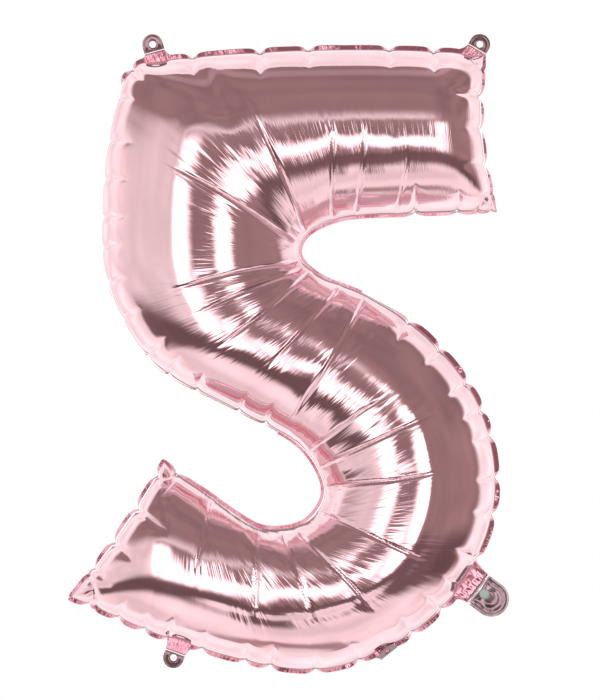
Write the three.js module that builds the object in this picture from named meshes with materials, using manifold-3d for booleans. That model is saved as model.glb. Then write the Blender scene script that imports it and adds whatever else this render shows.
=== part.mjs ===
// A foil number balloon: an inflated figure 5, in millimetres.
// Two thin foil panels are welded together round their edge. The weld leaves a narrow flange that
// carries four punched hanging tabs and an inflation tail with a flat self-sealing film valve.
// +Z is up, the front panel faces -Y, and the seam lies in the plane Y = 0.
// The origin is halfway between the punched holes of the two top tabs, where the balloon hangs.
import * as THREE from "three";
import { mergeVertices } from "three/addons/utils/BufferGeometryUtils.js";
import Module from "manifold-3d";

// ---- driving dimensions ----

// The seam runs down both sides of the figure's single stroke. Each row is one place along the
// stroke: [x, z] on the side that starts as the top edge, then [x, z] on the side facing it.
const STROKE = [
  [[172, -10], [183, -170]],
  [[75, -6], [96, -173]],
  [[-27, -7], [24, -178]],
  [[-129, -14], [-8, -191]],
  [[-186, -23], [-16, -200]],
  [[-206, -67], [-19, -208]],
  [[-219, -160], [-19, -215]],
  [[-214, -241], [-14, -224]],
  [[-168, -325], [5, -238]],
  [[-86, -372], [48, -256]],
  [[-14, -413], [110, -296]],
  [[9, -458], [167, -372]],
  [[-11, -489], [181, -472]],
  [[-54, -496], [130, -575]],
  [[-103, -467], [14, -637]],
  [[-130, -448], [-130, -614]],
  [[-156, -428], [-250, -565]],
];
const HALF_DEPTH = 66; // from the seam plane to the crown of a panel
const END_ROUND = 74; // how far from an end of the stroke the panel reaches its full depth
const END_PULLS = [9, 3]; // how far inflating draws the middle of each straight end inwards
const PANEL_WALL = 0.8; // stands for foil that is really about 0.03 thick
const FIT_GAP = 0.3; // kept between pieces that touch

const STROKE_ROWS = 84; // steps along the stroke
const STROKE_COLUMNS = 12; // steps across it
const END_ROWS = 6; // rows inside each rounded end

const FLANGE_WIDTH = 5; // welded margin outside the seam
const FLANGE_THICKNESS = 1.0; // two foil plies fused, really about 0.06

const TAB_WIDTH = 21;
const TAB_THICKNESS = 1.0;
const TAB_HINGE_GAP = 1; // between a tab's foot and the tab, so that it can fold
const TAB_HOLE_RADIUS = 3.5;

const TAIL_WIDTH = 36;
const TAIL_LENGTH = 35;
const TAIL_FOOT = 11.5;
const TAIL_HINGE_GAP = 2;
const TAIL_PLY = 0.6;
const TAIL_PLY_OFFSET = 1.05; // from the seam plane to the near face of each ply
const INFLATION_HOLE_RADIUS = 5.5;
const INFLATION_HOLE_FROM_FOLD = 8.5;

const VALVE_WIDTH = 24;
const VALVE_PLY = 0.6;
const VALVE_INSIDE = 72; // length of valve film inside the chamber
const VALVE_IN_TAIL = 26; // length of valve film past the line that the tail folds on
const VALVE_SLOT = VALVE_WIDTH + 2;

// Where each tab leaves the seam: a point on the seam, the way it points in the seam plane
// (degrees up from +X), the straight foot between the flange and the line that the tab folds on,
// its length past that line, and how far it is folded forward at rest.
const HANG_TABS = {
  hang_tab_top_left: { seam: [-163.5, -15.5], heading: 105, foot: 3.5, length: 18, fold: 0 },
  hang_tab_top_right: { seam: [160, -12], heading: 60, foot: 3.5, length: 16, fold: 0 },
  hang_tab_bottom_left: { seam: [-141.5, -614], heading: -110, foot: 3.5, length: 16, fold: 0 },
  hang_tab_bottom_right: { seam: [70, -617.5], heading: -52, foot: 2, length: 19, fold: 112 },
};
for (const tab of Object.values(HANG_TABS)) Object.assign(tab, { width: TAB_WIDTH, gap: TAB_HINGE_GAP });
const TAIL = {
  seam: [152, -547],
  heading: -37,
  foot: TAIL_FOOT,
  length: TAIL_LENGTH,
  fold: 0,
  width: TAIL_WIDTH,
  gap: TAIL_HINGE_GAP,
};

// ---- materials ----

const foilSide = () => new THREE.MeshStandardMaterial({ color: 0xe0aab0, roughness: 0.14, metalness: 1 });
const foilWeld = () => new THREE.MeshStandardMaterial({ color: 0xd0919a, roughness: 0.3, metalness: 1 });
const valveFilm = () => new THREE.MeshStandardMaterial({ color: 0xbcc6c2, roughness: 0.4, metalness: 0 });

// ---- solids ----

const wasm = await Module();
wasm.setup();

function solidOf(geometry) {
  const bare = geometry.clone();
  bare.deleteAttribute("normal");
  bare.deleteAttribute("uv");
  const merged = mergeVertices(bare, 1e-4);
  return new wasm.Manifold(
    new wasm.Mesh({
      numProp: 3,
      vertProperties: merged.attributes.position.array,
      triVerts: new Uint32Array(merged.index.array),
    }),
  );
}

function geometryOf(solid) {
  const mesh = solid.getMesh();
  const geometry = new THREE.BufferGeometry();
  geometry.setAttribute("position", new THREE.BufferAttribute(mesh.vertProperties, 3));
  geometry.setIndex(new THREE.BufferAttribute(mesh.triVerts, 1));
  return geometry;
}

// A flat plate: the shape's X and Y become the row's X and Z, and it spans nearY to farY.
function plate(shape, nearY, farY, curveSegments = 16) {
  const geometry = new THREE.ExtrudeGeometry(shape, {
    depth: farY - nearY,
    bevelEnabled: false,
    curveSegments,
  });
  return geometry.rotateX(Math.PI / 2).translate(0, farY, 0);
}

// ---- the stroke ----

const sideCurve = (side) =>
  new THREE.CatmullRomCurve3(
    STROKE.map((row) => new THREE.Vector3(row[side][0], 0, row[side][1])),
    false,
    "centripetal",
  );
const SIDES = [sideCurve(0), sideCurve(1)];

// Length along the middle of the stroke at evenly spaced curve parameters.
const SPINE_SAMPLES = 600;
const spineLengths = [0];
for (let i = 1, last = spinePoint(0); i <= SPINE_SAMPLES; i++) {
  const next = spinePoint(i / SPINE_SAMPLES);
  spineLengths.push(spineLengths[i - 1] + next.distanceTo(last));
  last = next;
}
const SPINE_LENGTH = spineLengths[SPINE_SAMPLES];

function spinePoint(u) {
  return SIDES[0].getPoint(u).lerp(SIDES[1].getPoint(u), 0.5);
}

function parameterAt(length) {
  let i = 1;
  while (i < SPINE_SAMPLES && spineLengths[i] < length) i++;
  const share = (length - spineLengths[i - 1]) / (spineLengths[i] - spineLengths[i - 1]);
  return (i - 1 + Math.min(1, share)) / SPINE_SAMPLES;
}

// Rows crowd towards the two rounded ends, where the surface turns quickly.
function rowLengths() {
  const rounded = Array.from(
    { length: END_ROWS },
    (_, k) => END_ROUND * (1 - Math.cos((k / END_ROWS) * (Math.PI / 2))),
  );
  const middle = STROKE_ROWS - 2 * END_ROWS;
  const straight = Array.from(
    { length: middle + 1 },
    (_, k) => END_ROUND + ((SPINE_LENGTH - 2 * END_ROUND) * k) / middle,
  );
  return [...rounded, ...straight, ...rounded.reverse().map((l) => SPINE_LENGTH - l)];
}

// How far a row has come through a rounded end, from 0 at the end seam to 1.
function endShare(length) {
  return Math.min(1, Math.min(length, SPINE_LENGTH - length) / END_ROUND);
}

// The seam-plane point and the height of the panel over it, for each row and column.
const grid = rowLengths().map((length) => {
  const u = parameterAt(length);
  const [a, b] = SIDES.map((curve) => curve.getPoint(u));
  const flat = 1 - endShare(length);
  const inwards = spinePoint(THREE.MathUtils.clamp(u, 0.1, 0.9)).sub(spinePoint(u)).normalize();
  return Array.from({ length: STROKE_COLUMNS + 1 }, (_, j) => {
    const angle = (Math.PI * j) / STROKE_COLUMNS;
    const across = (1 - Math.cos(angle)) / 2;
    const pull = END_PULLS[u < 0.5 ? 0 : 1] * flat * Math.sin(angle) ** 2;
    return {
      point: a.clone().lerp(b, across).addScaledVector(inwards, pull),
      height: HALF_DEPTH * Math.sqrt(1 - flat * flat) * Math.sin(angle),
    };
  });
});
const ROWS = grid.length - 1;

// The seam as one closed loop of grid places, in order.
const seamLoop = [];
for (let i = 0; i < ROWS; i++) seamLoop.push([i, 0]);
for (let j = 0; j < STROKE_COLUMNS; j++) seamLoop.push([ROWS, j]);
for (let i = ROWS; i > 0; i--) seamLoop.push([i, STROKE_COLUMNS]);
for (let j = STROKE_COLUMNS; j > 0; j--) seamLoop.push([0, j]);
const seamPoints = seamLoop.map(([i, j]) => grid[i][j].point);

// The seam moved outwards in its own plane, square to it at every point.
function offsetSeam(distance) {
  const count = seamPoints.length;
  return seamPoints.map((p, k) => {
    const before = seamPoints[(k + count - 1) % count];
    const after = seamPoints[(k + 1) % count];
    const sideways = (from, to) => new THREE.Vector2(to.z - from.z, from.x - to.x).normalize();
    const n1 = sideways(before, p);
    const n2 = sideways(p, after);
    const normal = n1.clone().add(n2).normalize();
    const reach = distance / Math.max(0.6, normal.dot(n1));
    return new THREE.Vector2(p.x + normal.x * SEAM_TURN * reach, p.z + normal.y * SEAM_TURN * reach);
  });
}

// 1 if the loop's sideways direction already points out of the figure, -1 if it points in.
const SEAM_TURN = THREE.ShapeUtils.area(seamPoints.map((p) => new THREE.Vector2(p.x, p.z))) > 0 ? 1 : -1;

// ---- pieces ----

// One foil panel: the domed outer surface, the same surface moved inwards by the wall, and a rim.
function panel(side) {
  const columns = STROKE_COLUMNS + 1;
  const rimY = side * (FIT_GAP / 2);
  const outer = grid.map((row) =>
    row.map(({ point, height }) => new THREE.Vector3(point.x, rimY + side * height, point.z)),
  );
  const flatNormals = offsetSeam(1);
  const inner = outer.map((row, i) =>
    row.map((p, j) => {
      const rim = i === 0 || j === 0 || i === ROWS || j === STROKE_COLUMNS;
      if (rim) {
        const k = seamLoop.findIndex(([a, b]) => a === i && b === j);
        const out = flatNormals[k];
        return new THREE.Vector3(
          p.x - (out.x - p.x) * PANEL_WALL,
          rimY,
          p.z - (out.y - p.z) * PANEL_WALL,
        );
      }
      const along = outer[i + 1][j].clone().sub(outer[i - 1][j]);
      const across = outer[i][j + 1].clone().sub(outer[i][j - 1]);
      const normal = along.cross(across).normalize();
      if (normal.y * side < 0) normal.negate();
      return p.clone().addScaledVector(normal, -PANEL_WALL);
    }),
  );

  const positions = [];
  for (const surface of [outer, inner]) for (const row of surface) for (const p of row) positions.push(...p);
  const index = [];
  const quad = (a, b, c, d) => index.push(a, b, c, a, c, d);
  const at = (surface, i, j) => surface * (ROWS + 1) * columns + i * columns + j;
  for (let i = 0; i < ROWS; i++)
    for (let j = 0; j < STROKE_COLUMNS; j++) {
      quad(at(0, i, j), at(0, i + 1, j), at(0, i + 1, j + 1), at(0, i, j + 1));
      quad(at(1, i, j), at(1, i, j + 1), at(1, i + 1, j + 1), at(1, i + 1, j));
    }
  seamLoop.forEach(([i, j], k) => {
    const [m, n] = seamLoop[(k + 1) % seamLoop.length];
    quad(at(0, i, j), at(1, i, j), at(1, m, n), at(0, m, n));
  });
  if (side > 0) index.reverse();

  const geometry = new THREE.BufferGeometry();
  geometry.setAttribute("position", new THREE.Float32BufferAttribute(positions, 3));
  geometry.setIndex(index);
  return geometry;
}

// A box in a tab's own frame (X across it, Z along it from the seam), moved to the row's frame.
function tabFrameBox(tab, width, from, to, thickness) {
  const box = new THREE.BoxGeometry(width, thickness, to - from).translate(0, 0, (from + to) / 2);
  return solidOf(box.applyMatrix4(seamFrame(tab)));
}

function seamFrame({ seam, heading }) {
  const turn = new THREE.Matrix4().makeRotationY(THREE.MathUtils.degToRad(90 - heading));
  return turn.setPosition(seam[0], 0, seam[1]);
}

// The welded margin all round, with a straight foot under each tab and a way through for the valve.
function weldFlange() {
  const half = FLANGE_THICKNESS / 2;
  const ring = new THREE.Shape(offsetSeam(FIT_GAP + FLANGE_WIDTH));
  ring.holes.push(new THREE.Path(offsetSeam(FIT_GAP)));
  let solid = solidOf(plate(ring, -half, half));
  const chamber = solidOf(plate(new THREE.Shape(offsetSeam(FIT_GAP)), -half - 1, half + 1));
  for (const tab of [...Object.values(HANG_TABS), TAIL]) {
    const fold = FLANGE_WIDTH + tab.foot;
    const foot = tabFrameBox(tab, tab.width, -FLANGE_WIDTH, fold, FLANGE_THICKNESS);
    const clearance = tabFrameBox(tab, tab.width + 2 * tab.gap, fold, fold + tab.length, 2 * FLANGE_THICKNESS);
    solid = solid.add(foot.subtract(chamber)).subtract(clearance);
  }
  const slot = tabFrameBox(TAIL, VALVE_SLOT, -2 * FLANGE_WIDTH, TAIL_LENGTH, 3 * FLANGE_THICKNESS);
  return geometryOf(solid.subtract(slot));
}

// The flat outline of a tab, from its fold line at the bottom to its round end.
function tabShape({ width, length, gap }, holeRadius, holeAt) {
  const shape = new THREE.Shape();
  const half = width / 2;
  shape.moveTo(-half, gap);
  shape.lineTo(half, gap);
  shape.lineTo(half, length - half);
  shape.absarc(0, length - half, half, 0, Math.PI, false);
  shape.closePath();
  if (holeRadius) {
    const hole = new THREE.Path();
    hole.absarc(0, holeAt, holeRadius, 0, 2 * Math.PI, true);
    shape.holes.push(hole);
  }
  return shape;
}

// A pair of nested groups: the outer one stands on the seam, the inner one is the fold line.
function foldedGroup(tab, ...meshes) {
  const stand = new THREE.Group();
  stand.applyMatrix4(seamFrame(tab));
  const fold = new THREE.Group();
  fold.position.z = FLANGE_WIDTH + tab.foot;
  fold.rotation.x = THREE.MathUtils.degToRad(tab.fold);
  fold.add(...meshes);
  stand.add(fold);
  return stand;
}

function mesh(name, geometry, material) {
  const made = new THREE.Mesh(geometry, material);
  made.name = name;
  return made;
}

function hangTab(name, tab) {
  const half = TAB_THICKNESS / 2;
  const shape = tabShape(tab, TAB_HOLE_RADIUS, tab.length - TAB_WIDTH / 2);
  return foldedGroup(tab, mesh(name, plate(shape, -half, half), foilWeld()));
}

// The tail's two foil plies, the front one with the round inflation hole.
function inflationTail() {
  const front = tabShape(TAIL, INFLATION_HOLE_RADIUS, INFLATION_HOLE_FROM_FOLD);
  const back = tabShape(TAIL);
  const near = TAIL_PLY_OFFSET;
  const far = TAIL_PLY_OFFSET + TAIL_PLY;
  return foldedGroup(
    TAIL,
    mesh("tail_front_ply", plate(front, -far, -near), foilWeld()),
    mesh("tail_back_ply", plate(back, near, far), foilWeld()),
  );
}

// One of the two flat films that cling together once the balloon is full.
function valvePly(name, side) {
  const length = VALVE_INSIDE + FLANGE_WIDTH + TAIL_FOOT + VALVE_IN_TAIL;
  const y = side * (FIT_GAP / 2 + VALVE_PLY / 2);
  const strip = new THREE.BoxGeometry(VALVE_WIDTH, VALVE_PLY, length);
  strip.translate(0, y, length / 2 - VALVE_INSIDE);
  return mesh(name, strip.applyMatrix4(seamFrame(TAIL)), valveFilm());
}

// A panel with its rim relieved where the valve films pass between the two panels.
function relievedPanel(side) {
  const slot = tabFrameBox(TAIL, VALVE_SLOT, -3 * FLANGE_WIDTH, FLANGE_WIDTH, 3 * FLANGE_THICKNESS);
  return geometryOf(solidOf(panel(side)).subtract(slot));
}

// ---- assembly ----

const balloon = new THREE.Group();
balloon.add(mesh("front_panel", relievedPanel(-1), foilSide()));
balloon.add(mesh("back_panel", relievedPanel(1), foilSide()));
balloon.add(mesh("weld_flange", weldFlange(), foilWeld()));
for (const [name, tab] of Object.entries(HANG_TABS)) balloon.add(hangTab(name, tab));
balloon.add(inflationTail());
balloon.add(valvePly("valve_film_front", -1));
balloon.add(valvePly("valve_film_back", 1));

export default balloon;
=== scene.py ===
import math

import bpy
import numpy as np
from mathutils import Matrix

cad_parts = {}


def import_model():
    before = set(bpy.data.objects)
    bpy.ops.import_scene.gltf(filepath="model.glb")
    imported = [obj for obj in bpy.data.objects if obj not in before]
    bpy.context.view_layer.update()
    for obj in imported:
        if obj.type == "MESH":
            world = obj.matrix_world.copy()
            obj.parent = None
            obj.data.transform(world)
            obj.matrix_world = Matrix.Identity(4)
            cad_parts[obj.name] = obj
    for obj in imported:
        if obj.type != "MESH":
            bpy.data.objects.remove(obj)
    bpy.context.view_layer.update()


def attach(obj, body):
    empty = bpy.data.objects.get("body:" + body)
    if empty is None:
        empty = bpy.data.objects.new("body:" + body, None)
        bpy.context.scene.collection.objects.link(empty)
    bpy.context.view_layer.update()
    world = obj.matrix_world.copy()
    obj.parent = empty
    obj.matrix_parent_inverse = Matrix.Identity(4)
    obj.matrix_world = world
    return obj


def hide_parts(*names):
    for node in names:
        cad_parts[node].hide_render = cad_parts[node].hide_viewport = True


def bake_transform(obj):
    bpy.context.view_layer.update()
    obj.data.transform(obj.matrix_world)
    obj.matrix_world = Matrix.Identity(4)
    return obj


# The looks of the foil number balloon: its foil, welded margin, tabs, tail and valve films, with a studio
# and a camera. Everything is in metres; lengths are written in millimetres times MM.

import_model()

MM = 0.001

# ---- the figure, with the CAD's own sizes ----

# Both sides of the stroke on the seam plane, from the arm's end to the lower left end, as x and z in
# millimetres.
STROKE = [
    [(172, -10), (183, -170)],
    [(75, -6), (96, -173)],
    [(-27, -7), (24, -178)],
    [(-129, -14), (-8, -191)],
    [(-186, -23), (-16, -200)],
    [(-206, -67), (-19, -208)],
    [(-219, -160), (-19, -215)],
    [(-214, -241), (-14, -224)],
    [(-168, -325), (5, -238)],
    [(-86, -372), (48, -256)],
    [(-14, -413), (110, -296)],
    [(9, -458), (167, -372)],
    [(-11, -489), (181, -472)],
    [(-54, -496), (130, -575)],
    [(-103, -467), (14, -637)],
    [(-130, -448), (-130, -614)],
    [(-156, -428), (-250, -565)],
]
HALF_DEPTH = 66 * MM
END_ROUND = 74 * MM  # length of the round part at each end of the stroke
END_PULLS = (9 * MM, 3 * MM)  # how far the middle of the first and of the last end is drawn in
END_FULLNESS = 2.8  # 2 would round an end off as an ellipse; more keeps it full closer to its seam
LAST_END_TAPER = 0.11  # share of its depth that the figure loses towards its lower left end
BEND_CHANGE = 0.60  # where the inner side of the stroke passes from its second side to its first

FLANGE_WIDTH = 5 * MM
TAB_WIDTH = 21 * MM
TAB_HOLE_RADIUS = 3.5 * MM
TAIL_WIDTH = 36 * MM
TAIL_PLY_OFFSET = 1.35 * MM
TAIL_RIM_OFFSET = 0.25 * MM  # the plies lie together at their welded rim and along the fold
HINGE_GAP = 0.5 * MM  # left free on each side of a fold line
INFLATION_HOLE_RADIUS = 5.5 * MM
INFLATION_HOLE_FROM_FOLD = 8.5 * MM
VALVE_WIDTH = 24 * MM
VALVE_INSIDE = 72 * MM  # length past the seam, in the chamber
VALVE_IN_TAIL = 26 * MM

# Seam point, heading in degrees, foot between margin and fold line and length past it in millimetres, fold
# at rest in degrees, and how far the tip curls up in millimetres. The tail's last value is its bow.
HANG_TABS = {
    "hang_tab_top_left": ((-163.5, -15.5), 105, 3.5, 18, 0, 1.0),
    "hang_tab_top_right": ((160, -12), 60, 3.5, 16, 0, 0.0),
    "hang_tab_bottom_left": ((-141.5, -614), -110, 3.5, 16, 0, 1.0),
    "hang_tab_bottom_right": ((70, -617.5), -52, 2, 19, 112, 1.5),
}
TAIL = ((152, -547), -37, 11.5, 35, 0, 1.4)

ROWS = 1152  # foil grid steps along the stroke
COLUMNS = 80  # steps across it, on each panel


# ---- small tools ----

def size_of(vectors):
    return np.linalg.norm(vectors, axis=-1)


def unit(vectors):
    return vectors / (size_of(vectors)[..., None] + 1e-12)


def ease(value, low, high):
    """0 at low, 1 at high, smooth between; high may be the smaller one."""
    t = np.clip((value - low) / (high - low), 0, 1)
    return t * t * (3 - 2 * t)


def streaks(rng, along, across, period, length):
    """Noise of about -1 to 1 in long thin strokes: period apart along the foil, length long across it."""
    lines = int(np.max(along) / period) + 3
    knots = int(np.max(across) / length) + 4
    table = rng.normal(0, 0.6, (lines, knots))
    phase = rng.uniform(0, 1, lines)
    place = np.maximum(along / period, 0)
    line = place.astype(int)
    share = place - line
    share = share * share * (3 - 2 * share)
    total = 0
    for step, weight in ((0, 1 - share), (1, share)):
        row = line + step
        spot = np.maximum(across / length, 0) + phase[row]
        knot = spot.astype(int)
        part = spot - knot
        part = part * part * (3 - 2 * part)
        total = total + weight * (table[row, knot] * (1 - part) + table[row, knot + 1] * part)
    return total


# ---- the inflated figure ----

def side_curve(side, u):
    """Points at parameters u of the centripetal Catmull-Rom curve through one side of the stroke."""
    p = np.array([[row[side][0], 0.0, row[side][1]] for row in STROKE]) * MM
    p = np.vstack([2 * p[0] - p[1], p, 2 * p[-1] - p[-2]])
    at = np.clip(u, 0, 1) * (len(STROKE) - 1)
    i = np.minimum(at.astype(int), len(STROKE) - 2)
    w = (at - i)[:, None]
    p0, p1, p2, p3 = (p[i + k] for k in range(4))
    d0, d1, d2 = (np.sqrt(size_of(b - a))[:, None] for a, b in ((p0, p1), (p1, p2), (p2, p3)))
    t1 = ((p1 - p0) / d0 - (p2 - p0) / (d0 + d1) + (p2 - p1) / d1) * d1
    t2 = ((p2 - p1) / d1 - (p3 - p1) / (d1 + d2) + (p3 - p2) / d2) * d1
    return p1 + w * (t1 + w * (3 * (p2 - p1) - 2 * t1 - t2 + w * (2 * (p1 - p2) + t1 + t2)))


def stroke_rows(count):
    """Stroke parameter and end share of rows evenly spaced over the foil, and the foil's length at each."""
    u = np.linspace(0, 1, 4001)
    spine = (side_curve(0, u) + side_curve(1, u)) / 2
    length = np.concatenate([[0], np.cumsum(size_of(np.diff(spine, axis=0)))])
    total = length[-1]
    quarter = END_ROUND * math.pi / 2 * 0.95
    foil = np.linspace(0, total - 2 * END_ROUND + 2 * quarter, count + 1)
    nearest = np.minimum(foil, foil[-1] - foil)
    turned = np.minimum(nearest / quarter, 1)
    round_part = END_ROUND * (1 - np.cos(turned * math.pi / 2))
    plane = np.where(nearest < quarter, round_part, END_ROUND + nearest - quarter)
    plane = np.where(foil < foil[-1] / 2, plane, total - plane)
    share = np.minimum(np.minimum(plane, total - plane) / END_ROUND, 1)
    return np.interp(plane, length, u), share, foil


class Foil:
    """Both panels as one grid of points [row along the stroke, column round it]: the front's columns
    come first, from the seam of side 0 to that of side 1, and the back's run on from there."""

    def __init__(self, rows, columns):
        self.rows = rows
        self.columns = columns
        self.u, self.share, self.length = stroke_rows(rows)
        a, b = side_curve(0, self.u), side_curve(1, self.u)
        clear = np.clip(self.u, 0.1, 0.9)
        inwards = unit((side_curve(0, clear) + side_curve(1, clear)) / 2 - (a + b) / 2)
        angle = np.arange(2 * columns) * math.pi / columns
        self.across = (1 - np.cos(angle)) / 2
        flat = 1 - self.share
        pull = np.where(self.u < 0.5, *END_PULLS) * flat
        mix = self.across[None, :, None]
        p = a[:, None] * (1 - mix) + b[:, None] * mix
        p += inwards[:, None] * (pull[:, None] * np.sin(angle)[None] ** 2)[..., None]
        taper = 1 - LAST_END_TAPER * np.clip((self.u - 0.86) / 0.10, 0, 1)
        depth = HALF_DEPTH * taper * (1 - flat**END_FULLNESS) ** (1 / END_FULLNESS)
        p[..., 1] = -depth[:, None] * np.sin(angle)[None]
        self.p = p
        ring = size_of(np.roll(p, -1, 1) - p)
        self.round = np.cumsum(ring, 1) - ring

    def normals(self):
        along = np.gradient(self.p, axis=0)
        around = np.roll(self.p, -1, 1) - np.roll(self.p, 1, 1)
        normal = unit(np.cross(along, around))
        for row, near in ((0, 1), (-1, -2)):
            normal[row] = normal[near]
        return normal

    def side(self, name):
        """Columns of one panel, both seams included."""
        m = self.columns
        return np.arange(m + 1) if name == "front" else np.arange(m, 2 * m + 1) % (2 * m)

    def seam(self):
        """The closed seam as (row, column) of each point, along side 0 first, then back along side 1."""
        n, m = self.rows, self.columns
        rows = [np.arange(n), np.full(m, n), np.arange(n, 0, -1), np.zeros(m, int)]
        columns = [np.zeros(n, int), np.arange(m), np.full(n, m), np.arange(m, 0, -1)]
        return np.concatenate(rows), np.concatenate(columns)

    def seam_outward(self, reach):
        """Directions in the seam plane, square to the seam and away from the figure; the seam's own
        direction is taken between the points that number before and after."""
        rows, columns = self.seam()
        seam = self.p[rows, columns]
        tangent = unit(np.roll(seam, -reach, 0) - np.roll(seam, reach, 0))
        outward = np.stack([tangent[:, 2], 0 * tangent[:, 0], -tangent[:, 0]], 1)
        middle = self.p[rows, self.columns // 2]
        return outward * np.sign(np.median(np.sum((seam - middle) * outward, 1)))


# ---- folds of the foil ----

# Creases that fan out from the two bays: stroke parameter at the inner seam, parameter and place
# across the stroke (0 to 1) where the crease dies out, and depth.
CREASES = [
    (0.075, 0.060, 0.62, 0.4),
    (0.110, 0.088, 0.50, 0.7),
    (0.135, 0.112, 0.50, 0.9),
    (0.205, 0.168, 0.40, 1.0),
    (0.285, 0.325, 0.37, 1.0),
    (0.415, 0.452, 0.34, 1.0),
    (0.450, 0.480, 0.38, 0.8),
    (0.474, 0.516, 0.33, 1.0),
    (0.530, 0.556, 0.36, 0.8),
    (0.566, 0.600, 0.14, 1.0),
    (0.628, 0.640, 0.60, 0.7),
    (0.650, 0.672, 0.68, 1.0),
    (0.680, 0.715, 0.66, 1.0),
    (0.722, 0.783, 0.70, 1.0),
    (0.765, 0.832, 0.74, 1.0),
    (0.786, 0.863, 0.68, 0.9),
    (0.818, 0.898, 0.66, 1.0),
    (0.885, 0.930, 0.50, 0.8),
]
CREASE_DEPTH = 3.6 * MM  # of the broad hollow beside a crease
CREASE_REACH = 10 * MM
CREASE_LINE = 1.5 * MM  # depth of the sharp line in the middle of it
CREASE_LIP = 0.35 * MM  # height of the lip on each side of that line
CREASE_WANDER = 1.5 * MM  # how far a crease strays from a straight line

# Short puckers round the outer seam: least and most distance between two, depth and length.
PUCKER_GAPS = (26 * MM, 50 * MM)
PUCKER_DEPTH = 2.6 * MM
PUCKER_LENGTH = 27 * MM

# Two long soft folds from the outer seam: the same values as for a crease.
SOFT_FOLDS = [
    (0.182, 0.190, 0.42, 1.0),
    (0.268, 0.240, 0.30, 0.6),
]
SOFT_FOLD_DEPTH = 2.2 * MM
SOFT_FOLD_REACH = 13 * MM

# Pinches that leave a small pillow at each corner of the figure: the corner, the way in, how far in the
# pinch runs and its depth, all in millimetres.
CORNER_PINCHES = [
    ((172, -10), (-0.72, -0.70), 15, 2.6),
    ((183, -170), (-0.80, 0.60), 16, 2.6),
    ((-156, -428), (0.05, -1.0), 13, 3.2),
    ((-250, -565), (0.95, 0.12), 24, 2.6),
]

TAB_HOLLOW_DEPTH = 2.4 * MM
TAB_HOLLOW_REACH = 14 * MM
LEDGE_HEIGHT = 1.3 * MM
OVERALL_LIFT = 0.5 * MM  # so that the folds sink from a form a little fuller than the CAD's


def inner_share(u, across):
    """Place across the stroke counted from the inner side of its bend, 0 to 1."""
    return np.where(u < BEND_CHANGE, 1 - across, across)


def place_on_stroke(u, across):
    """The point at parameter u along the stroke, that share of the way from side 0 to side 1."""
    u = np.atleast_1d(u)
    point = side_curve(0, u) * (1 - across) + side_curve(1, u) * across
    return point[0]


def fold_frame(points, start, end):
    """Distance beside the line from start to end, and the share of the way along it, on the seam plane."""
    line = (end - start)[[0, 2]]
    span = np.linalg.norm(line)
    line = line / span
    x = points[..., 0] - start[0]
    z = points[..., 2] - start[2]
    return x * line[1] - z * line[0], (x * line[0] + z * line[1]) / span


def crease_panel(points, normals, rng):
    """How far the fan of creases sinks each point of one panel, away from the gas's push."""
    flank = 0.30 + 0.70 * np.hypot(normals[..., 0], normals[..., 2])
    depth = np.zeros(points.shape[:2])
    for u_seam, u_end, across_end, amount in CREASES:
        side = 1.0 if u_seam < BEND_CHANGE else 0.0
        start = place_on_stroke(u_seam, side)
        end = place_on_stroke(u_end, across_end)
        beside, share = fold_frame(points, start, end)
        beside = beside + CREASE_WANDER * np.sin(share * rng.uniform(3, 6) + rng.uniform(0, 6))
        fade = ease(share, 0.0, 0.08) * ease(share, 1.12, 0.72)
        broad = CREASE_DEPTH * np.exp(-np.abs(beside) / CREASE_REACH) * flank
        line = CREASE_LINE * np.exp(-np.abs(beside) / (1.2 * MM))
        lip = CREASE_LIP * np.exp(-((np.abs(beside) - 3 * MM) / (1.4 * MM)) ** 2)
        depth = np.maximum(depth, amount * fade * (broad + line - lip))
    return depth


def soft_folds(points):
    """Depth of the two long soft folds."""
    depth = np.zeros(points.shape[:2])
    for u_seam, u_end, across_end, amount in SOFT_FOLDS:
        start = place_on_stroke(u_seam, 0.06)
        end = place_on_stroke(u_end, across_end)
        beside, share = fold_frame(points, start, end)
        fade = ease(share, -0.1, 0.15) * ease(share, 1.1, 0.6)
        hollow = SOFT_FOLD_DEPTH * np.exp(-((beside / SOFT_FOLD_REACH) ** 2))
        depth = np.maximum(depth, amount * fade * hollow)
    return depth


def corner_pinches(points):
    """Depth of the curved pinch inside each corner."""
    depth = np.zeros(points.shape[:2])
    for corner, inward, reach, amount in CORNER_PINCHES:
        x = points[..., 0] - corner[0] * MM
        z = points[..., 2] - corner[1] * MM
        from_corner = x * inward[0] + z * inward[1]
        bow = np.hypot(x, z) - from_corner
        beside = from_corner + 0.5 * bow - reach * MM
        depth = np.maximum(depth, amount * MM * np.exp(-np.abs(beside) / (2.6 * MM)) * (bow < 30 * MM))
    return depth


def tab_hollows(points):
    """The foil is drawn in a little beside each hanging tab."""
    depth = np.zeros(points.shape[:2])
    for seam, *_ in HANG_TABS.values():
        away = np.hypot(points[..., 0] - seam[0] * MM, points[..., 2] - seam[1] * MM)
        depth = np.maximum(depth, TAB_HOLLOW_DEPTH * np.exp(-((away / TAB_HOLLOW_REACH) ** 2)))
    return depth


def inner_ledge(foil):
    """1 where the creased inner part of each bend stands prouder than the smooth outer part, else 0."""
    u = foil.u[:, None]
    inner = inner_share(u, foil.across[None])
    first = ease(u, 0.13, 0.19) * ease(u, 0.52, 0.40)
    second = ease(u, 0.62, 0.69) * ease(u, 0.95, 0.90)
    return (first + second) * ease(inner, 0.69, 0.635)


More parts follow.
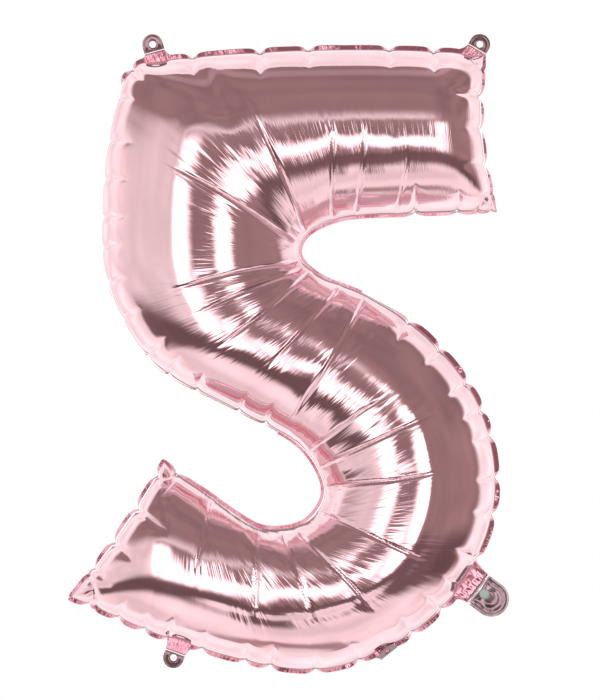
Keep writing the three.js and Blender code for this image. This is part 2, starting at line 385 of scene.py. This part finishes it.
def pucker_places(foil, rng):
    """Seam points, inward directions and depths of the short puckers round the outer edge."""
    rows, columns = foil.seam()
    seam = foil.p[rows, columns]
    step = size_of(np.roll(seam, -1, 0) - seam)
    walked = np.cumsum(step) - step
    inward = -foil.seam_outward(6)
    across = foil.across[columns]
    inner = inner_share(foil.u[rows], across)
    ends = (rows == 0) | (rows == foil.rows)
    bay = (inner < 0.5) & ~ends & (foil.u[rows] > 0.06) & (foil.u[rows] < 0.95)
    places = []
    at = 14 * MM
    while at < walked[-1] - 12 * MM:
        i = int(np.searchsorted(walked, at))
        if not bay[i]:
            places.append((seam[i], inward[i], rng.uniform(0.6, 1.15) * (1.5 if ends[i] else 1)))
        top = columns[i] == 0 and 0.02 < foil.u[rows[i]] < 0.24
        at += rng.uniform(*PUCKER_GAPS) * (1.7 if top else 1.2 if ends[i] else 1)
    return places


def pucker_panel(points, places):
    """Depth of the short puckers on one panel."""
    depth = np.zeros(points.shape[:2])
    for start, inward, amount in places:
        beside, share = fold_frame(points, start, start + inward * PUCKER_LENGTH * (0.4 + 0.7 * amount))
        near = (np.abs(beside) < 40 * MM) & (share > -0.6) & (share < 1.1)
        fade = np.where(near, ease(share, 1.05, 0.30), 0)
        valley = 0.65 * np.exp(-np.abs(beside) / (4.5 * MM)) + 0.45 * np.exp(-np.abs(beside) / (1.3 * MM))
        depth = np.maximum(depth, amount * PUCKER_DEPTH * fade * valley)
    return depth


def bunch_share(foil):
    """How close a point lies to the end of a crease, where the foil gathers in bunches of ribs."""
    near = np.zeros(foil.p.shape[:2])
    for _, u_end, across_end, amount in CREASES:
        end = place_on_stroke(u_end, across_end)
        away = np.hypot(foil.p[..., 0] - end[0], foil.p[..., 2] - end[2])
        near = np.maximum(near, amount * np.exp(-((away / (19 * MM)) ** 2)))
    return near


def rib_share(foil):
    """Where the foil is crimped into fine ribs: all over the inner half and the crown, least outside."""
    u = foil.u[:, None]
    inner = inner_share(u, foil.across[None])
    crown = np.exp(-(((inner - 0.44) / 0.10) ** 2))
    arm = ease(u, 0.20, 0.12)
    end = ease(u, 0.95, 0.90)
    rim = ease(inner, 0.86, 0.95) * (0.5 + 0.5 * np.sin(foil.length[:, None] / (31 * MM)))
    spread = 0.04 + 0.32 * ease(inner, 0.56, 0.40) + 0.5 * crown
    return np.clip(spread * end * (1 - 0.6 * arm) + 0.3 * rim + 0.7 * bunch_share(foil), 0, 1)


def hair_share(foil):
    """Where the foil is brushed with ribs too fine to see singly: most of all along the straight arm."""
    u = foil.u[:, None]
    inner = inner_share(u, foil.across[None])
    arm = ease(u, 0.22, 0.15) * ease(inner, 0.68, 0.60)
    bends = 0.32 * ease(inner, 0.66, 0.56) * ease(u, 0.95, 0.90)
    return np.maximum(arm, bends)


def fold_foil(foil, places, rng):
    """Lays all the folds and ribs on the smooth figure."""
    normals = foil.normals()
    sink = np.zeros(foil.p.shape[:2])
    for name in ("front", "back"):
        columns = foil.side(name)
        points = foil.p[:, columns]
        creases = crease_panel(points, normals[:, columns], rng)
        puckers = pucker_panel(points, places)
        folds = (creases, puckers, soft_folds(points), corner_pinches(points), tab_hollows(points))
        sink[:, columns] = np.max(folds, 0) - OVERALL_LIFT
    ribs = rib_share(foil)
    along = foil.length[:, None] + 0 * foil.round
    coarse = streaks(rng, along, foil.round, 4.6 * MM, 17 * MM)
    fine = streaks(rng, along, foil.round, 2.8 * MM, 30 * MM)
    bunch = 0.6 + 1.5 * ease(streaks(rng, along, foil.round, 34 * MM, 60 * MM), 0.1, 0.6)
    lift = ribs * (0.17 * MM * coarse * bunch + 0.06 * MM * fine) + LEDGE_HEIGHT * inner_ledge(foil)
    foil.p += normals * (lift - sink)[..., None]


# ---- meshes ----

def surface(name, points, quads, uv, **shares):
    """A smooth-shaded mesh object from points, four-sided faces and one texture place per point."""
    mesh = bpy.data.meshes.new(name)
    mesh.vertices.add(len(points))
    mesh.vertices.foreach_set("co", np.ascontiguousarray(points, np.float32).ravel())
    mesh.loops.add(quads.size)
    mesh.loops.foreach_set("vertex_index", quads.astype(np.int32).ravel())
    mesh.polygons.add(len(quads))
    mesh.polygons.foreach_set("loop_start", np.arange(0, quads.size, 4, dtype=np.int32))
    mesh.polygons.foreach_set("use_smooth", np.ones(len(quads), bool))
    layer = mesh.uv_layers.new(name="foil")
    layer.data.foreach_set("uv", np.ascontiguousarray(uv[quads.ravel()], np.float32).ravel())
    for key, values in shares.items():
        attribute = mesh.attributes.new(key, "FLOAT", "POINT")
        attribute.data.foreach_set("value", np.ascontiguousarray(values, np.float32).ravel())
    mesh.update()
    mesh.validate()
    made = bpy.data.objects.new(name, mesh)
    bpy.context.scene.collection.objects.link(made)
    return made


def grid_quads(rows, columns, closed=False):
    """Faces of a grid of points numbered row by row; closed joins the last column to the first."""
    number = np.arange(rows * columns).reshape(rows, columns)
    if closed:
        number = np.concatenate([number, number[:, :1]], 1)
    corners = (number[:-1, :-1], number[:-1, 1:], number[1:, 1:], number[1:, :-1])
    return np.stack(corners, -1).reshape(-1, 4)


def thicken(made, thickness):
    """Gives a sheet its thickness, half to each side, as real geometry."""
    wall = made.modifiers.new("wall", "SOLIDIFY")
    wall.thickness = thickness
    wall.offset = 0
    shaped = made.evaluated_get(bpy.context.evaluated_depsgraph_get())
    mesh = bpy.data.meshes.new_from_object(shaped)
    made.modifiers.clear()
    made.data = mesh
    mesh.set_sharp_from_angle(angle=math.radians(60))
    return made


def dress(made, material, body, node):
    """Gives a piece its material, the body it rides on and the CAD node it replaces."""
    made.data.materials.clear()
    made.data.materials.append(material)
    if body:
        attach(made, body)
    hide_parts(node)
    return made


def panel(foil, name, material):
    """One foil panel, mapped in metres along the stroke and across it."""
    columns = foil.side(name)
    points = foil.p[:, columns]
    rows, count = points.shape[:2]
    along = np.repeat(foil.length[:, None], count, 1)
    walked = np.cumsum(size_of(np.diff(points, axis=1)), 1)
    across = np.concatenate([np.zeros((rows, 1)), walked], 1)
    uv = np.stack([along, across], -1).reshape(-1, 2)
    ribs = rib_share(foil)[:, columns]
    hair = hair_share(foil)[:, columns]
    quads = grid_quads(rows, count)[:, ::-1]
    made = surface(f"foil_{name}", points.reshape(-1, 3), quads, uv, ribs=ribs, hair=hair)
    return dress(made, material, "balloon", f"{name}_panel")


# ---- tabs and tail ----

class Stand:
    """Where a tab stands: its seam point, the way it heads, its side and its fold line."""

    def __init__(self, facts):
        seam, heading, foot, length, fold, tip_rise = facts
        turn = math.radians(heading)
        self.seam = np.array([seam[0], 0, seam[1]]) * MM
        self.heading = np.array([math.cos(turn), 0, math.sin(turn)])
        self.side = np.array([math.sin(turn), 0, -math.cos(turn)])
        self.fold_from_seam = FLANGE_WIDTH + foot * MM
        self.fold_line = self.seam + self.heading * self.fold_from_seam
        self.length = length * MM
        self.fold = math.radians(fold)
        self.tip_rise = tip_rise * MM

    def place(self, out, aside, up):
        """Points out along the tab, aside and up towards the front, with the tab folded as at rest."""
        lie = self.heading * math.cos(self.fold) + np.array([0, -math.sin(self.fold), 0])
        rise = self.heading * -math.sin(self.fold) + np.array([0, -math.cos(self.fold), 0])
        return self.fold_line + out[..., None] * lie + aside[..., None] * self.side + up[..., None] * rise


def outline_distance(angle, hole_at, length, half):
    """From the hole's centre to the edge of a tab that is straight at its fold and round at its tip."""
    ahead, aside = np.cos(angle), np.sin(angle)
    centre = length - half
    shift = centre - hole_at
    to_round = ahead * shift + np.sqrt(np.maximum(half**2 - (aside * shift) ** 2, 0))
    to_side = half / np.maximum(np.abs(aside), 1e-6)
    to_fold = (hole_at - HINGE_GAP) / np.maximum(-ahead, 1e-6)
    past_centre = ahead * to_side > shift
    return np.minimum(np.where(past_centre, to_round, to_side), to_fold)


def ring_grid(hole_at, hole_radius, length, half, rings, spokes):
    """Grid [ring, spoke] of a tab round its hole: out, aside, distance in from the edge."""
    corner = math.atan2(half, -(hole_at - HINGE_GAP))
    fixed = np.array([corner, 2 * math.pi - corner])
    angle = np.linspace(0, 2 * math.pi, spokes, endpoint=False)
    for value in fixed:
        angle[np.argmin(np.abs(angle - value))] = value
    edge = outline_distance(angle, hole_at, length, half)
    share = np.linspace(0, 1, rings)[:, None]
    radius = hole_radius + (edge - hole_radius) * share
    return hole_at + radius * np.cos(angle), radius * np.sin(angle), edge - radius


def hang_tab(name, facts, material, rng):
    """A punched tab with a raised rim and eyelet."""
    stand = Stand(facts)
    half = TAB_WIDTH / 2
    hole_at = stand.length - half
    out, aside, inset = ring_grid(hole_at, TAB_HOLE_RADIUS, stand.length, half, 28, 144)
    curl = stand.tip_rise * (out / stand.length) ** 2 + 0.4 * MM * np.sin(out / (5 * MM) + rng.uniform(0, 6))
    twist = rng.uniform(-0.06, 0.06) * aside * (out / stand.length)
    rim = 0.25 * MM * np.exp(-(((inset - 1.8 * MM) / (0.5 * MM)) ** 2))
    eyelet = np.hypot(out - hole_at, aside) - TAB_HOLE_RADIUS
    rim += 0.22 * MM * np.exp(-(((eyelet - 1.2 * MM) / (0.45 * MM)) ** 2))
    crimp = 0.10 * MM * streaks(rng, aside + half, out, 2.2 * MM, 9 * MM) * ease(out, 7 * MM, 2 * MM)
    up = (curl + twist) * ease(out, 0, 7 * MM) + rim + crimp * ease(out, MM, 2 * MM)
    points = stand.place(out, aside, up).reshape(-1, 3)
    uv = np.stack([out, aside], -1).reshape(-1, 2)
    quads = grid_quads(*out.shape, closed=True)
    made = thicken(surface(f"{name}_foil", points, quads, uv), 0.3 * MM)
    return dress(made, material, name, name)


def tail_ply(name, up_side, material, rng):
    """One ply of the inflation tail; the front one has the inflation hole."""
    stand = Stand(TAIL)
    half = TAIL_WIDTH / 2
    front = up_side > 0
    hole = INFLATION_HOLE_RADIUS if front else 0.4 * MM
    out, aside, inset = ring_grid(INFLATION_HOLE_FROM_FOLD, hole, stand.length, half, 60, 200)
    rings = 0.10 * MM * np.sin(inset * 2 * math.pi / (2.6 * MM)) * ease(inset, 6.0 * MM, 4.5 * MM)
    rings *= ease(inset, 0, 1.5 * MM) * ease(out, 0, 6 * MM)
    apart = (TAIL_PLY_OFFSET - TAIL_RIM_OFFSET) * ease(inset, 0.6 * MM, 5 * MM)
    puff = 1.2 * MM * ease(inset, 7 * MM, 15 * MM)
    crumple = streaks(rng, aside + half, out, 4.5 * MM, 13 * MM)
    crumple = crumple + streaks(rng, out, aside + half, 6 * MM, 9 * MM)
    bow = stand.tip_rise * (aside / half) ** 2
    crumple = 0.10 * MM * crumple * ease(inset, MM, 4 * MM)
    up = up_side * (TAIL_RIM_OFFSET + apart + puff + crumple) + rings + bow * ease(out, 0, 8 * MM)
    points = stand.place(out, aside, up).reshape(-1, 3)
    uv = np.stack([out, aside], -1).reshape(-1, 2)
    quads = grid_quads(*out.shape, closed=True)
    # Painted highlight: the share of pale colour along the fold line and on a ring inside the welded rim,
    # where the foil would catch a bright reflection.
    worn = ease(out, 2.6 * MM, 1.6 * MM) + 0.35 * np.exp(-(((inset - 2.0 * MM) / (0.7 * MM)) ** 2))
    made = thicken(surface(f"{name}_foil", points, quads, uv, worn=np.clip(worn, 0, 1)), 0.2 * MM)
    return dress(made, material, "inflation_tail", name)


# ---- the welded margin ----

MARGIN_FOLD = math.radians(80)  # how far the margin is folded back where it doesn't show
MARGIN_STEPS = 9
MARGIN_REFINE = 2  # points of the margin for each point of the seam
NEAR_STAND = 14 * MM


def shown_margin(u, columns, on_end):
    """How far the margin stands out in the seam plane, 1, rather than lying folded behind, 0."""
    first = columns == 0
    outer = np.where(first, u < BEND_CHANGE, u > BEND_CHANGE - 0.04)
    top = np.where(first, 0.85 * ease(u, 0.285, 0.265), 0)
    right = np.where(first, 0, 0.80 * ease(u, 0.58, 0.64))
    shown = np.where(outer, top + right, 0.30)
    return np.where(on_end, 0.45, shown)


def margin_heading(foil, places):
    """Which way the margin heads at each point of the seam: outward, or turned back out of sight."""
    rows, columns = foil.seam()
    seam = foil.p[rows, columns]
    outward = foil.seam_outward(2)
    kernel = np.hanning(15)
    kernel /= kernel.sum()
    padded = np.concatenate([outward[-7:], outward, outward[:7]])
    outward = unit(np.stack([np.convolve(padded[:, k], kernel, "valid") for k in range(3)], 1))
    on_end = (rows == 0) | (rows == foil.rows)
    shown = shown_margin(foil.u[rows], columns, on_end)
    for point, _, _ in places:
        shown = shown * (1 - 0.9 * np.exp(-((size_of(seam - point) / (7 * MM)) ** 2)))
    turned = MARGIN_FOLD * (1 - shown)[:, None]
    return outward * np.cos(turned) + np.array([0, 1, 0]) * np.sin(turned)


def refined_loop(loop, count):
    """A closed loop of vectors, stepped evenly by number into that many."""
    spot = np.arange(count) * len(loop) / count
    number = np.arange(len(loop) + 1)
    closed = np.concatenate([loop, loop[:1]])
    return np.stack([np.interp(spot, number, closed[:, k]) for k in range(3)], 1)


def margin_feet(seam, outer):
    """Draws the margin's outer edge out to each tab and to the tail. Also how far each point belongs to
    one of these feet, to the tail's own foot, and to the neck that holds the valve films: 0 to 1."""
    foot = np.zeros(len(seam))
    for facts, width in [(tab, TAB_WIDTH) for tab in HANG_TABS.values()] + [(TAIL, TAIL_WIDTH)]:
        stand = Stand(facts)
        aside = (seam - stand.seam) @ stand.side
        near = np.abs((seam - stand.seam) @ stand.heading) < NEAR_STAND
        part = ease(np.abs(aside), width / 2 + 4 * MM, width / 2 - 0.5 * MM) * near
        along_fold = np.clip(aside, -width / 2, width / 2)[:, None] * stand.side
        landing = stand.fold_line + along_fold - stand.heading * HINGE_GAP
        outer = outer * (1 - part)[:, None] + landing * part[:, None]
        foot = np.maximum(foot, part)
    # The tail came last, so aside, near and part are now the tail's.
    neck = ease(np.abs(aside), TAIL_WIDTH / 2, VALVE_WIDTH / 2 + MM) * near
    return outer, foot, part, neck


def welded_margin(foil, places, material):
    """Both plies of the welded margin as one closed, flattened tube: the front ply from the seam to the
    outer edge, then the back ply from there to the seam."""
    rng = np.random.default_rng(23)
    coarse_seam = foil.p[foil.seam()]
    count = len(coarse_seam) * MARGIN_REFINE
    seam = refined_loop(coarse_seam, count)
    outward = unit(refined_loop(margin_heading(foil, places), count))
    outer, foot, tail_foot, neck = margin_feet(seam, seam + outward * FLANGE_WIDTH)
    step = size_of(np.roll(seam, -1, 0) - seam)
    walked = np.cumsum(step) - step

    share = np.linspace(0, 1, MARGIN_STEPS)[:, None]
    points = seam[None] * (1 - share[..., None]) + outer[None] * share[..., None]
    reach = size_of(points - seam[None])
    along = walked[None] + 0 * share
    wave = streaks(rng, along, FLANGE_WIDTH * share, 13 * MM, 20 * MM)
    crimp = streaks(rng, along, FLANGE_WIDTH * share, 1.5 * MM, 6 * MM)
    crumple = streaks(rng, along, reach, 3.2 * MM, 4.5 * MM)
    crumple = crumple + streaks(rng, along + reach, reach, 6.5 * MM, 7 * MM)
    lift = share * (1.3 * MM * wave * (1 - foot) + 0.55 * MM * crimp * (1 - foot * share))
    lift = lift + 0.55 * MM * crumple * tail_foot * np.sin(share * math.pi)
    points[..., 1] += lift

    pocket = neck * (0.45 + 0.55 * np.sin(share * math.pi) - 0.30 * share**2)
    half = (0.12 * MM + 1.1 * MM * pocket)[..., None] * [0, 1, 0]
    plies = np.concatenate([points - half, (points + half)[::-1]])
    across = np.concatenate([reach, -reach[::-1]])
    uv = np.stack([np.repeat(walked[None], 2 * MARGIN_STEPS, 0), across], -1).reshape(-1, 2)
    quads = grid_quads(2 * MARGIN_STEPS, count, closed=True)
    crimped = np.repeat(1 - 0.75 * tail_foot[None], 2 * MARGIN_STEPS, 0)
    made = surface("weld_margin", plies.reshape(-1, 3), quads, uv, ribs=crimped)
    return dress(made, material, "balloon", "weld_flange")


# ---- valve films ----

def valve_film(name, up_side, material, rng):
    """One of the two films that lie flat from the chamber through the neck into the tail."""
    stand = Stand(TAIL)
    inside = -VALVE_INSIDE - stand.fold_from_seam
    out, aside = np.meshgrid(
        np.linspace(inside, VALVE_IN_TAIL, 120),
        np.linspace(-VALVE_WIDTH / 2, VALVE_WIDTH / 2, 36),
        indexing="ij",
    )
    wave = streaks(rng, out - inside, aside + VALVE_WIDTH, 9 * MM, 14 * MM)
    at_seam = 0.67 * np.exp(-(((out + stand.fold_from_seam) / (9 * MM)) ** 2))
    at_fold = 0.81 * np.exp(-((out / (5 * MM)) ** 2))
    up = (up_side * 0.45 * MM + 0.12 * MM * wave) * (1 - np.maximum(at_seam, at_fold))
    points = stand.place(out, aside, up).reshape(-1, 3)
    uv = np.stack([out, aside], -1).reshape(-1, 2)
    made = thicken(surface(f"{name}_sheet", points, grid_quads(*out.shape), uv), 0.07 * MM)
    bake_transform(made)
    return dress(made, material, None, name)


# ---- materials ----

class Nodes:
    """A short way to write a node tree."""

    def __init__(self, tree):
        self.tree = tree

    def add(self, kind, inputs=None, **settings):
        node = self.tree.nodes.new(kind)
        for key, value in settings.items():
            setattr(node, key, value)
        for key, value in (inputs or {}).items():
            if isinstance(value, bpy.types.NodeSocket):
                self.tree.links.new(value, node.inputs[key])
            else:
                node.inputs[key].default_value = value
        return node

    def math(self, operation, *values):
        return self.add("ShaderNodeMath", dict(enumerate(values)), operation=operation).outputs[0]

    def mix_vectors(self, share, first, second):
        return self.add("ShaderNodeMix", {0: share, 4: first, 5: second}, data_type="VECTOR").outputs[1]

    def mix_colours(self, share, first, second):
        return self.add("ShaderNodeMix", {0: share, 6: first, 7: second}, data_type="RGBA").outputs[2]

    def attribute(self, name):
        return self.add("ShaderNodeAttribute", attribute_name=name).outputs["Fac"]


def metal(name, tint, shade, roughness, anisotropy):
    """A metallised film: mirror-like, with faint clouding of its colour."""
    material = bpy.data.materials.new(name)
    material.use_nodes = True
    nodes = Nodes(material.node_tree)
    shader = material.node_tree.nodes["Principled BSDF"]
    shader.inputs["Metallic"].default_value = 1.0
    shader.inputs["Roughness"].default_value = roughness
    shader.inputs["Anisotropic"].default_value = anisotropy
    places = nodes.add("ShaderNodeTexCoord")
    pattern = {"Vector": places.outputs["Object"], "Scale": 22.0, "Detail": 3.0}
    cloud = nodes.add("ShaderNodeTexNoise", pattern)
    limits = {"Value": cloud.outputs["Fac"], "From Min": 0.35, "From Max": 0.65}
    ramp = nodes.add("ShaderNodeMapRange", limits)
    colour = nodes.mix_colours(ramp.outputs[0], shade, tint)
    material.node_tree.links.new(colour, shader.inputs["Base Color"])
    return material, nodes, shader


def stretched_noise(nodes, along, across, detail):
    """Noise on the foil's own map, with that many strokes to the metre along and across the stroke."""
    uv = nodes.add("ShaderNodeUVMap", uv_map="foil")
    stretch = {0: uv.outputs[0], 1: (along, across, 1.0)}
    scaled = nodes.add("ShaderNodeVectorMath", stretch, operation="MULTIPLY").outputs[0]
    noise = nodes.add("ShaderNodeTexNoise", {"Vector": scaled, "Scale": 1.0, "Detail": detail})
    return noise.outputs["Fac"]


def bump(nodes, shader, height, distance):
    """Relief that many metres high."""
    made = nodes.add("ShaderNodeBump", {"Height": height, "Distance": distance, "Strength": 1.0})
    nodes.tree.links.new(made.outputs[0], shader.inputs["Normal"])


def panel_foil(name):
    """Bright rose-gold foil, with fine ribs and finer hair across the stroke."""
    material, nodes, shader = metal(name, (0.96, 0.64, 0.68, 1), (0.93, 0.60, 0.64, 1), 0.08, 0.6)
    ribs = nodes.math("MULTIPLY", nodes.attribute("ribs"), 0.8)
    brushed = nodes.math("MULTIPLY", nodes.attribute("hair"), 0.18)
    comb = nodes.math("MULTIPLY", stretched_noise(nodes, 420, 26, 1.0), ribs)
    hair = nodes.math("MULTIPLY", stretched_noise(nodes, 1600, 30, 0.0), brushed)
    grain = nodes.math("MULTIPLY", stretched_noise(nodes, 160, 160, 2.0), 0.04)
    bump(nodes, shader, nodes.math("ADD", nodes.math("ADD", comb, hair), grain), 0.00036)
    tangent = nodes.add("ShaderNodeTangent", direction_type="UV_MAP", uv_map="foil")
    nodes.tree.links.new(tangent.outputs[0], shader.inputs["Tangent"])
    return material


def weld_foil():
    """Two fused plies, deeper in colour and crimped."""
    material, nodes, shader = metal("weld_foil", (0.88, 0.42, 0.49, 1), (0.72, 0.30, 0.37, 1), 0.17, 0.0)
    crimp = nodes.math("MULTIPLY", stretched_noise(nodes, 520, 110, 1.0), nodes.attribute("ribs"))
    bump(nodes, shader, crimp, 0.0008)
    return material


def tab_foil_painted_dark():
    """Two fused plies pressed smooth. Their dark mauve colour is painted shade: the panels' own foil,
    darkened to stand in for the dark things it mirrors.
    """
    # Painted shade: both tints are darkened from the panels' rose gold to stand in for dark reflections.
    material, nodes, shader = metal("tab_foil_painted_dark", (0.36, 0.22, 0.235, 1), (0.28, 0.165, 0.18, 1), 0.13, 0.0)
    bump(nodes, shader, stretched_noise(nodes, 150, 150, 1.0), 0.00015)
    return material


def tail_foil_painted_light():
    """Dark mauve foil as painted shade, the panels' foil darkened for the dark things it mirrors, with a
    painted highlight of pale pink along its fold and its weld ring.
    """
    # Painted shade: the dark mauve tints stand in for the dark reflections of foil that is really the
    # panels' colour.
    material, nodes, shader = metal("tail_foil_painted_light", (0.36, 0.24, 0.26, 1), (0.27, 0.18, 0.20, 1), 0.14, 0.0)
    dark = shader.inputs["Base Color"].links[0].from_socket
    # Painted highlight: pale pink is mixed in along the fold line and the weld ring, standing in for their
    # bright reflections.
    worn = nodes.mix_colours(nodes.attribute("worn"), dark, (0.95, 0.86, 0.88, 1))
    nodes.tree.links.new(worn, shader.inputs["Base Color"])
    bump(nodes, shader, stretched_noise(nodes, 150, 150, 1.0), 0.00015)
    return material


def film():
    """Grey-green polyethylene film."""
    material = bpy.data.materials.new("valve_film")
    material.use_nodes = True
    nodes = Nodes(material.node_tree)
    shader = material.node_tree.nodes["Principled BSDF"]
    shader.inputs["Roughness"].default_value = 0.32
    shader.inputs["IOR"].default_value = 1.5
    places = nodes.add("ShaderNodeTexCoord")
    pattern = {"Vector": places.outputs["Object"], "Scale": 160.0, "Detail": 2.0}
    cloud = nodes.add("ShaderNodeTexNoise", pattern)
    ramp = nodes.add("ShaderNodeValToRGB", {"Fac": cloud.outputs["Fac"]})
    ramp.color_ramp.elements[0].color = (0.36, 0.44, 0.41, 1)
    ramp.color_ramp.elements[1].color = (0.46, 0.54, 0.51, 1)
    nodes.tree.links.new(ramp.outputs[0], shader.inputs["Base Color"])
    bump(nodes, shader, cloud.outputs["Fac"], 0.0008)
    return material


# ---- studio ----

# Soft panels round the balloon: azimuth and height of the middle, half width, half height and softness
# of the edge, all in degrees, then brightness and how warm the panel is (1 is neutral). Azimuth 0 is the
# camera's side. What no panel covers is the white surround.
SURROUND = (1.12, 1.05)
BEHIND_FROM = 120  # panels from this azimuth on are counted from the back
BOUNCE_LIGHT = (0.80, 1.0, 1.0)  # what foil seen in foil finds, mixed in by BOUNCE_SHARE
BOUNCE_SHARE = 0.65
PANELS = [
    (52, 0, 40, 66, 12, 0.34, 0.75),
    (-60, 0, 36, 62, 24, 0.88, 0.99),
    (0, 56, 92, 38, 16, 0.30, 0.76),
    (0, 76, 92, 5, 6, 0.46, 0.82),
    (0, -60, 92, 26, 12, 1.02, 0.98),
    (0, -75, 92, 4, 5, 0.46, 0.78),
    (0, -30, 84, 9, 9, 0.17, 0.72),
    (-12, -36, 9, 14, 8, 0.16, 0.73),
    (5, -5, 28, 19, 6, 0.31, 0.76),
    (-17, -5, 7.5, 16, 7, 2.3, 1.0),
    (18, -5, 6.5, 16, 7, 2.3, 1.0),
    (1, -12, 9, 6, 6, 2.0, 1.0),
    (180, 0, 28, 28, 8, 0.35, 0.77),
    (166, -3, 7, 17, 7, 1.75, 1.0),
    (196, -3, 7, 17, 7, 1.75, 1.0),
]


def world():
    """The studio as the foil mirrors it. Anything that isn't a mirror sees plain white all round."""
    made = bpy.data.worlds.new("studio")
    bpy.context.scene.world = made
    made.use_nodes = True
    made.node_tree.nodes.clear()
    nodes = Nodes(made.node_tree)
    toward = nodes.add("ShaderNodeTexCoord").outputs["Generated"]
    x, y, z = nodes.add("ShaderNodeSeparateXYZ", {0: toward}).outputs
    degrees = 180 / math.pi
    azimuth = nodes.math("MULTIPLY", nodes.math("ARCTAN2", x, nodes.math("MULTIPLY", y, -1.0)), degrees)
    height = nodes.math("MULTIPLY", nodes.math("ARCSINE", z), degrees)
    around = nodes.math("MULTIPLY", nodes.math("ARCTAN2", x, y), degrees)

    def inside(angle, middle, half, soft):
        off = nodes.math("ABSOLUTE", nodes.math("SUBTRACT", angle, float(middle)))
        limits = {"Value": off, "From Min": half + soft / 2, "From Max": half - soft / 2}
        return nodes.add("ShaderNodeMapRange", limits, interpolation_type="SMOOTHSTEP").outputs[0]

    def colour(brightness, warmth):
        return (brightness, brightness * warmth, brightness * warmth)

    light = colour(*SURROUND)
    for middle, rise, half_width, half_height, soft, brightness, warmth in PANELS:
        behind = middle > BEHIND_FROM
        angle = around if behind else azimuth
        centre = 180 - middle if behind else middle
        part = nodes.math(
            "MULTIPLY",
            inside(angle, centre, half_width, soft),
            inside(height, rise, half_height, soft),
        )
        light = nodes.mix_vectors(part, light, colour(brightness, warmth))
    drift = nodes.add("ShaderNodeTexNoise", {"Vector": toward, "Scale": 2.6, "Detail": 1.0}).outputs["Fac"]
    uneven = {"Value": drift, "From Min": 0.3, "From Max": 0.7, "To Min": 0.84, "To Max": 1.16}
    level = nodes.add("ShaderNodeMapRange", uneven).outputs[0]
    light = nodes.add("ShaderNodeVectorMath", {0: light, "Scale": level}, operation="SCALE").outputs[0]
    path = nodes.add("ShaderNodeLightPath").outputs
    bounced_again = nodes.math("GREATER_THAN", path["Ray Depth"], 2.5)
    light = nodes.mix_vectors(nodes.math("MULTIPLY", bounced_again, BOUNCE_SHARE), light, BOUNCE_LIGHT)
    shown = nodes.mix_vectors(path["Is Glossy Ray"], (1.0, 1.0, 1.0), light)
    background = nodes.add("ShaderNodeBackground", {0: shown, 1: 1.0})
    output = nodes.add("ShaderNodeOutputWorld")
    made.node_tree.links.new(background.outputs[0], output.inputs[0])


FLOOR_HEIGHT = -1.05
FLOOR_RINGS = (0.02, 0.5, 1.0, 1.6)  # their radii
FLOOR_SPOKES = 96


def floor():
    """A round pale floor well below the hanging balloon."""
    rings = np.array(FLOOR_RINGS)[:, None]
    angle = np.arange(FLOOR_SPOKES) * 2 * math.pi / FLOOR_SPOKES
    height = np.full((len(FLOOR_RINGS), FLOOR_SPOKES), FLOOR_HEIGHT)
    points = np.stack([rings * np.cos(angle), rings * np.sin(angle), height], -1)
    quads = grid_quads(len(FLOOR_RINGS), FLOOR_SPOKES, closed=True)
    made = surface("floor", points.reshape(-1, 3), quads, points.reshape(-1, 3)[:, :2])
    material = bpy.data.materials.new("floor_paper")
    material.use_nodes = True
    shader = material.node_tree.nodes["Principled BSDF"]
    shader.inputs["Base Color"].default_value = (0.93, 0.93, 0.93, 1)
    shader.inputs["Roughness"].default_value = 0.9
    made.data.materials.append(material)
    made.visible_glossy = False


def soft_light():
    """A large dim lamp above the camera's left, for the shading of the floor and of the film."""
    data = bpy.data.lights.new("soft_light", "AREA")
    data.size = 1.6
    data.energy = 12
    made = bpy.data.objects.new("soft_light", data)
    made.location = (-0.6, -1.6, 1.4)
    made.rotation_euler = (math.radians(48), 0, math.radians(-20))
    made.visible_glossy = False
    made.visible_camera = False
    bpy.context.scene.collection.objects.link(made)


CAMERA_DISTANCE = 3.0
CAMERA_AIM = (-0.0169, -0.3125)  # x and z
FRAME_LONG_SIDE = 0.716  # what the picture's longer side spans at the balloon


def camera():
    """Level with the balloon's middle and square to it, with a long lens."""
    data = bpy.data.cameras.new("camera")
    data.sensor_width = 36
    data.lens = data.sensor_width * CAMERA_DISTANCE / FRAME_LONG_SIDE
    made = bpy.data.objects.new("camera", data)
    made.location = (CAMERA_AIM[0], -CAMERA_DISTANCE, CAMERA_AIM[1])
    made.rotation_euler = (math.pi / 2, 0, 0)
    bpy.context.scene.collection.objects.link(made)
    bpy.context.scene.camera = made


# ---- everything together ----

camera()
world()
floor()
soft_light()
bpy.context.scene.view_settings.view_transform = "Standard"

fold_random = np.random.default_rng(11)
balloon_foil = Foil(ROWS, COLUMNS)
puckers = pucker_places(balloon_foil, fold_random)
fold_foil(balloon_foil, puckers, fold_random)
panel(balloon_foil, "front", panel_foil("foil_front"))
panel(balloon_foil, "back", panel_foil("foil_back"))
welded_margin(balloon_foil, puckers, weld_foil())
tab_material = tab_foil_painted_dark()
for number, (tab_name, tab_facts) in enumerate(HANG_TABS.items()):
    hang_tab(tab_name, tab_facts, tab_material, np.random.default_rng(40 + number))
tail_material = tail_foil_painted_light()
tail_ply("tail_front_ply", 1, tail_material, np.random.default_rng(51))
tail_ply("tail_back_ply", -1, tail_material, np.random.default_rng(52))
film_material = film()
valve_film("valve_film_front", 1, film_material, np.random.default_rng(61))
valve_film("valve_film_back", -1, film_material, np.random.default_rng(62))
